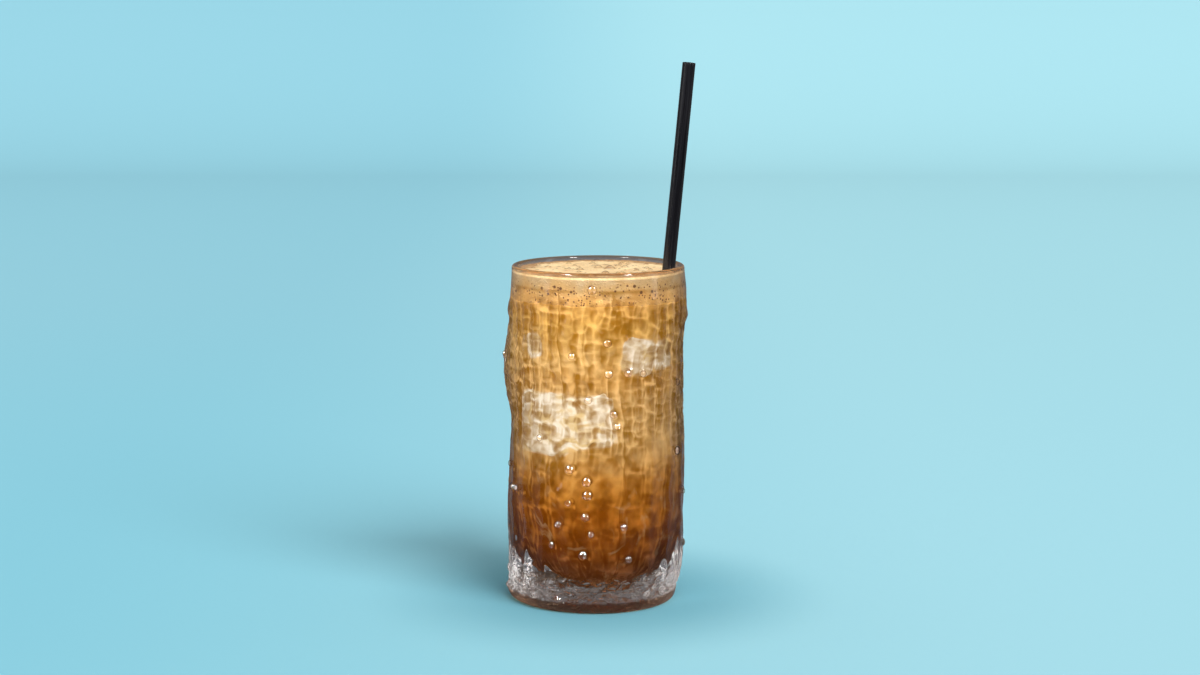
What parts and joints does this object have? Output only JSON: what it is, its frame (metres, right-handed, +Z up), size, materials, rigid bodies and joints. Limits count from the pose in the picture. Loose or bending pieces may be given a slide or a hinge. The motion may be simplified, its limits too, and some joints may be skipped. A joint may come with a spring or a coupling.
{
  "type": "frappe in a glass",
  "caption": "Iced frappe with a foam head and a straight straw, in a tall clear glass with a bark-like relief.",
  "frame": {"origin": "middle of the glass's flat underside, on its axis", "axes": "+Z up along the glass, +X towards the side that the straw leans to, -Y towards the front"},
  "size_m": [0.0816, 0.0762, 0.2313],
  "materials": {
    "glass": "clear glass, pressed bark relief outside and smooth inside",
    "coffee": "milky iced coffee, amber above and dark brown below",
    "foam": "soft tan coffee foam with bubbles",
    "straw": "smooth black plastic"
  },
  "bodies": {
    "root": {"glass": "glass", "coffee": "coffee", "foam": "foam", "straw": "straw"}
  },
  "joints": []
}
